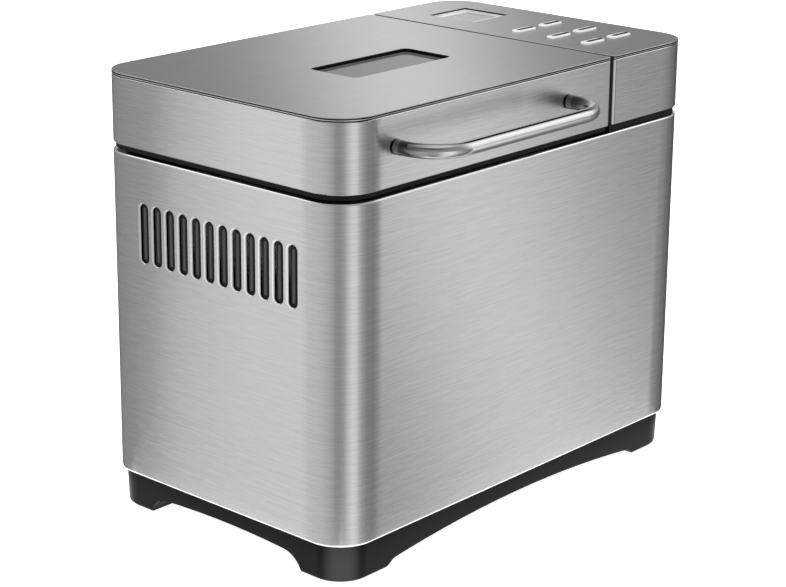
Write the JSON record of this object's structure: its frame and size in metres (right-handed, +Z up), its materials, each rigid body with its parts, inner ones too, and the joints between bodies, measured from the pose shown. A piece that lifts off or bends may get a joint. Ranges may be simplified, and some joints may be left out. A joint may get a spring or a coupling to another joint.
{
  "type": "bread machine",
  "caption": "Countertop bread machine: steel case on a moulded base, hinged lid with window and bow handle, key panel, oven, lift-out pan, belt-driven paddle.",
  "frame": {"origin": "on the worktop, in the middle of the machine's footprint including handle and cord bushing", "axes": "+X to the right along the machine's length, +Y to the back, +Z up; the handle faces -Y"},
  "size_m": [0.35, 0.2586, 0.2962],
  "materials": {
    "brushed_steel": "brushed, horizontal grain",
    "handle_steel": "satin tube",
    "black_plastic": "black, fine texture",
    "rubber": "black",
    "glass": "toughened, lightly tinted",
    "clear_lens": "clear window",
    "light_bezel": "pale grey",
    "display": "grey liquid crystal, off",
    "key_silver": "silver, glossy",
    "aluminium": "pressed sheet, satin",
    "aluminised_steel": "aluminised sheet",
    "zinc_steel": "zinc plated",
    "silicone": "grey silicone",
    "heater_sheath": "dark oxidised sheath",
    "nonstick": "dark grey non-stick coat",
    "cast_aluminium": "as cast",
    "bronze": "sintered",
    "shaft_steel": "ground",
    "pulley_plastic": "glass-filled, black",
    "pulley_metal": "turned",
    "motor_paint": "dark grey lacquer",
    "capacitor_plastic": "black box",
    "circuit_board": "green board with parts"
  },
  "bodies": {
    "housing": {"housing_sleeve": "brushed_steel", "sleeve_back": "brushed_steel", "vent_grille": "black_plastic", "base": "black_plastic", "rubber_feet": "rubber", "case_screws": "zinc_steel", "top_frame": "black_plastic", "panel_frame": "black_plastic", "panel_shell": "brushed_steel", "panel_top_plate": "brushed_steel", "lcd_lens": "clear_lens", "lcd_holder": "light_bezel", "lcd_display": "display", "control_board": "circuit_board", "power_board": "circuit_board", "cord_bushing": "black_plastic", "hinge_brackets": "black_plastic", "oven_chamber": "aluminised_steel", "heating_element": "heater_sheath", "heater_brackets": "zinc_steel", "temperature_probe": "zinc_steel", "pan_clips": "zinc_steel", "bearing_housing": "cast_aluminium", "drive_bushes": "bronze", "drive_belt": "rubber", "motor_body": "motor_paint", "motor_mounts": "rubber", "motor_capacitor": "capacitor_plastic", "chassis_plate": "zinc_steel"},
    "lid": {"lid_shell": "brushed_steel", "lid_top_plate": "brushed_steel", "window_frame": "black_plastic", "window_glass": "glass", "window_inner_glass": "glass", "lid_rim": "black_plastic", "lid_liner": "aluminium", "lid_gasket": "silicone", "handle_bar": "handle_steel", "handle_collars": "handle_steel", "handle_screws": "zinc_steel", "hinge_pins": "zinc_steel"},
    "pan": {"bread_pan": "nonstick", "pan_base_ring": "cast_aluminium", "shaft_bush": "bronze", "pan_ears": "zinc_steel"},
    "bail": {"pan_bail": "zinc_steel"},
    "paddle": {"kneading_paddle": "nonstick", "pan_shaft": "shaft_steel", "pan_coupling": "cast_aluminium"},
    "drive": {"drive_coupling": "cast_aluminium", "drive_shaft": "shaft_steel", "drive_pulley": "pulley_plastic"},
    "rotor": {"motor_shaft": "shaft_steel", "motor_pulley": "pulley_metal"},
    "key_program": {"key_program": "key_silver"},
    "key_crust": {"key_crust": "key_silver"},
    "key_size": {"key_size": "key_silver"},
    "key_up": {"key_up": "key_silver"},
    "key_down": {"key_down": "key_silver"},
    "key_start": {"key_start": "key_silver"}
  },
  "joints": [
    {"name": "lid_hinge", "type": "hinge", "parent": "housing", "child": "lid", "pos_m": [0, 0.11825, 0.2493], "axis": [-1, 0, 0], "range_deg": [0, 90]},
    {"name": "pan_lift", "type": "slide", "parent": "housing", "child": "pan", "axis": [0, 0, 1], "range_m": [0, 0.048]},
    {"name": "bail_hinge", "type": "hinge", "parent": "pan", "child": "bail", "pos_m": [-0.04625, 0.0155, 0.2248], "axis": [1, 0, 0], "range_deg": [0, 180]},
    {"name": "drive_spin", "type": "hinge", "parent": "housing", "child": "drive", "pos_m": [-0.04625, 0.0155, 0.0488], "axis": [0, 0, 1], "continuous": true},
    {"name": "paddle_spin", "type": "hinge", "parent": "pan", "child": "paddle", "pos_m": [-0.04625, 0.0155, 0.0938], "axis": [0, 0, 1], "continuous": true},
    {"name": "motor_spin", "type": "hinge", "parent": "housing", "child": "rotor", "pos_m": [0.118, 0.0155, 0.0488], "axis": [0, 0, 1], "continuous": true},
    {"name": "key_program_press", "type": "slide", "parent": "housing", "child": "key_program", "axis": [0, 0, -1], "range_m": [0, 0.0008], "stiffness_N_per_m": 1200, "springref_m": -0.0004},
    {"name": "key_crust_press", "type": "slide", "parent": "housing", "child": "key_crust", "axis": [0, 0, -1], "range_m": [0, 0.0008], "stiffness_N_per_m": 1200, "springref_m": -0.0004},
    {"name": "key_size_press", "type": "slide", "parent": "housing", "child": "key_size", "axis": [0, 0, -1], "range_m": [0, 0.0008], "stiffness_N_per_m": 1200, "springref_m": -0.0004},
    {"name": "key_up_press", "type": "slide", "parent": "housing", "child": "key_up", "axis": [0, 0, -1], "range_m": [0, 0.0008], "stiffness_N_per_m": 1200, "springref_m": -0.0004},
    {"name": "key_down_press", "type": "slide", "parent": "housing", "child": "key_down", "axis": [0, 0, -1], "range_m": [0, 0.0008], "stiffness_N_per_m": 1200, "springref_m": -0.0004},
    {"name": "key_start_press", "type": "slide", "parent": "housing", "child": "key_start", "axis": [0, 0, -1], "range_m": [0, 0.0008], "stiffness_N_per_m": 1200, "springref_m": -0.0004}
  ],
  "couplings": [
    {"joint": "paddle_spin", "follows": "drive_spin", "ratio": 1},
    {"joint": "motor_spin", "follows": "drive_spin", "ratio": 4.375}
  ]
}
